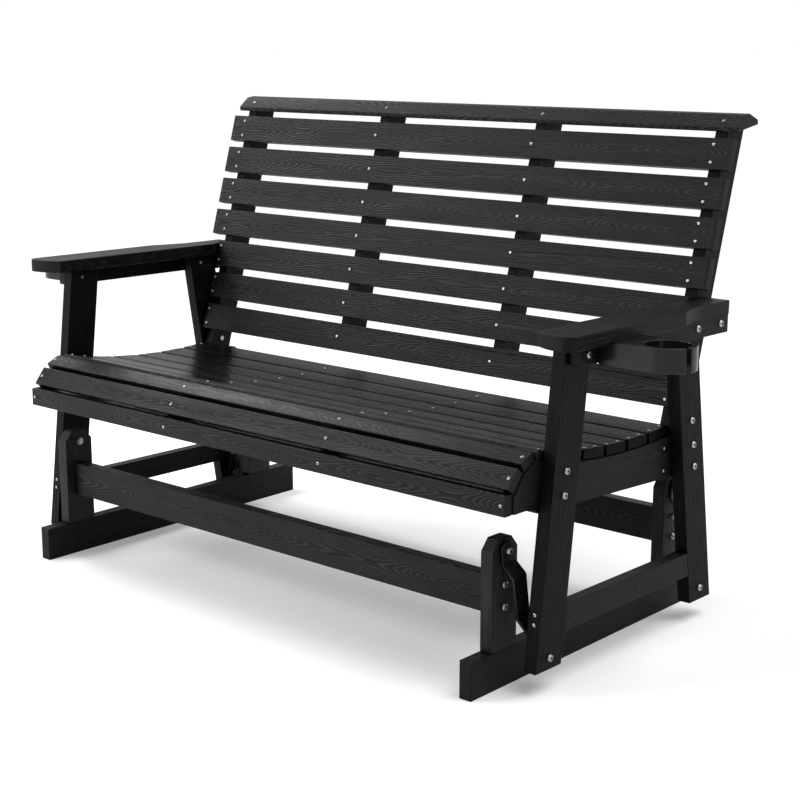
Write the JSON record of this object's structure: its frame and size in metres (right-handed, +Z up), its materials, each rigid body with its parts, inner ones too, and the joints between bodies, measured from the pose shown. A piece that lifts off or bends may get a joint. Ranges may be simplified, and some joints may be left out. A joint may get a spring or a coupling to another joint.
{
  "type": "glider bench",
  "caption": "Slatted glider bench of black plastic lumber on a standing base, its seat hung from swinging steel links, with a ring cup holder beside each arm",
  "frame": {"origin": "on the floor under the middle of the bench's bounding box", "axes": "+X along the bench, towards the sitter's left hand; +Y to the rear; +Z up; front is -Y"},
  "size_m": [1.657, 0.7406, 0.9401],
  "materials": {
    "lumber": "satin, wood-grain embossed recycled plastic board",
    "steel": "stainless fasteners",
    "black_steel": "black powder-coated strip"
  },
  "bodies": {
    "base": {"base_rail_left": "lumber", "base_rail_right": "lumber", "post_front_left": "lumber", "post_front_right": "lumber", "post_rear_left": "lumber", "post_rear_right": "lumber", "cross_rail_front": "lumber", "cross_rail_rear": "lumber", "base_bolts": "steel", "upper_pivots": "steel"},
    "front_left_link": {"link_front_left": "black_steel"},
    "front_right_link": {"link_front_right": "black_steel"},
    "rear_left_link": {"link_rear_left": "black_steel"},
    "rear_right_link": {"link_rear_right": "black_steel"},
    "seat": {"front_leg_left": "lumber", "front_leg_right": "lumber", "rear_leg_left": "lumber", "rear_leg_right": "lumber", "stretcher_left": "lumber", "stretcher_right": "lumber", "seat_rail_left": "lumber", "seat_rail_right": "lumber", "seat_support_left": "lumber", "seat_support_right": "lumber", "seat_board": "lumber", "apron_slat": "lumber", "nose_slat_lower": "lumber", "nose_slat_upper": "lumber", "seat_slat_1": "lumber", "seat_slat_2": "lumber", "seat_slat_3": "lumber", "seat_slat_4": "lumber", "seat_slat_5": "lumber", "seat_slat_6": "lumber", "upright_left": "lumber", "upright_mid_left": "lumber", "upright_mid_right": "lumber", "upright_right": "lumber", "back_slat_1": "lumber", "back_slat_2": "lumber", "back_slat_3": "lumber", "back_slat_4": "lumber", "back_slat_5": "lumber", "back_slat_6": "lumber", "back_slat_7": "lumber", "back_cap": "lumber", "arm_rail_left": "lumber", "arm_rail_right": "lumber", "arm_spacer_left": "lumber", "arm_spacer_right": "lumber", "armrest_left": "lumber", "armrest_right": "lumber", "cup_holder_left": "lumber", "cup_holder_right": "lumber", "lower_pivots": "steel", "frame_bolts": "steel", "seat_screws": "steel", "back_screws": "steel"}
  },
  "joints": [
    {"name": "glide", "type": "hinge", "parent": "base", "child": "front_left_link", "pos_m": [-0.5848, -0.28175, 0.243], "axis": [1, 0, 0], "range_deg": [-15, 12]},
    {"name": "front_right_swing", "type": "hinge", "parent": "base", "child": "front_right_link", "pos_m": [0.5848, -0.28175, 0.243], "axis": [1, 0, 0], "range_deg": [-15.5, 12.5]},
    {"name": "rear_left_swing", "type": "hinge", "parent": "base", "child": "rear_left_link", "pos_m": [-0.5848, 0.24346, 0.243], "axis": [1, 0, 0], "range_deg": [-15.5, 12.5]},
    {"name": "rear_right_swing", "type": "hinge", "parent": "base", "child": "rear_right_link", "pos_m": [0.5848, 0.24346, 0.243], "axis": [1, 0, 0], "range_deg": [-15.5, 12.5]},
    {"name": "seat_pivot", "type": "hinge", "parent": "front_left_link", "child": "seat", "pos_m": [-0.6244, -0.25265, 0.06284], "axis": [1, 0, 0], "range_deg": [-14.1, 17.4]}
  ],
  "couplings": [
    {"joint": "front_right_swing", "follows": "glide", "ratio": 1},
    {"joint": "rear_left_swing", "follows": "glide", "ratio": 0.9988},
    {"joint": "rear_right_swing", "follows": "glide", "ratio": 0.9988},
    {"joint": "seat_pivot", "follows": "glide", "ratio": -1.096}
  ]
}
